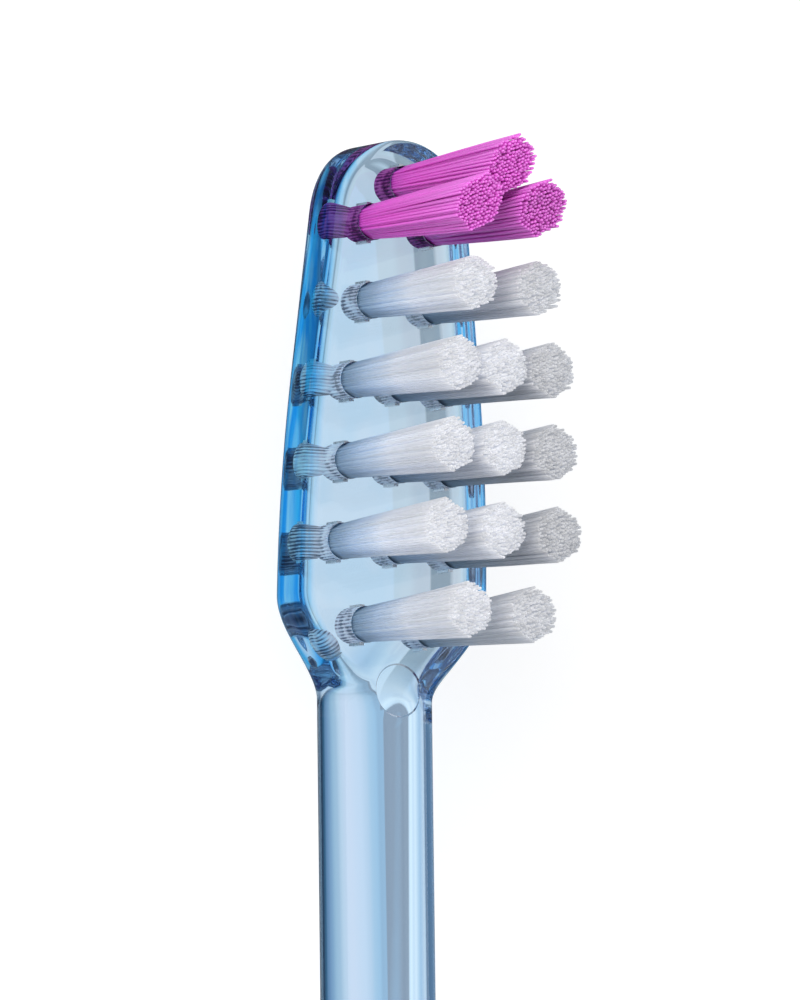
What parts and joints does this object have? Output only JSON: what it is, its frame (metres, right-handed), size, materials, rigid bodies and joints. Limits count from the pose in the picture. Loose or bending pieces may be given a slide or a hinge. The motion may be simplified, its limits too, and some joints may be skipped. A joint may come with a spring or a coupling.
{
  "type": "manual toothbrush",
  "caption": "Slim manual toothbrush with a clear blue one-piece body, a tapered tufted head, a straight oval neck and a contoured grip.",
  "frame": {"origin": "under the middle of the brush, on the surface that its flat back rests on", "axes": "+X from the butt of the handle to the tip of the head, +Z the way the bristles point"},
  "size_m": [0.19, 0.0126, 0.0177],
  "materials": {
    "clear_blue_plastic": "clear glossy tinted plastic",
    "pink_bristle": "satin nylon filaments",
    "clear_bristle": "translucent satin nylon filaments",
    "anchor_metal": "bright stamped plate"
  },
  "bodies": {
    "root": {"handle": "clear_blue_plastic", "tuft_row1_middle": "pink_bristle", "tuft_row2_left": "pink_bristle", "tuft_row2_right": "pink_bristle", "tuft_row3_left": "clear_bristle", "tuft_row3_right": "clear_bristle", "tuft_row4_left": "clear_bristle", "tuft_row4_middle": "clear_bristle", "tuft_row4_right": "clear_bristle", "tuft_row5_left": "clear_bristle", "tuft_row5_middle": "clear_bristle", "tuft_row5_right": "clear_bristle", "tuft_row6_left": "clear_bristle", "tuft_row6_middle": "clear_bristle", "tuft_row6_right": "clear_bristle", "tuft_row7_left": "clear_bristle", "tuft_row7_right": "clear_bristle", "anchor_row1_middle": "anchor_metal", "anchor_row2_left": "anchor_metal", "anchor_row2_right": "anchor_metal", "anchor_row3_left": "anchor_metal", "anchor_row3_right": "anchor_metal", "anchor_row4_left": "anchor_metal", "anchor_row4_middle": "anchor_metal", "anchor_row4_right": "anchor_metal", "anchor_row5_left": "anchor_metal", "anchor_row5_middle": "anchor_metal", "anchor_row5_right": "anchor_metal", "anchor_row6_left": "anchor_metal", "anchor_row6_middle": "anchor_metal", "anchor_row6_right": "anchor_metal", "anchor_row7_left": "anchor_metal", "anchor_row7_right": "anchor_metal"}
  },
  "joints": []
}
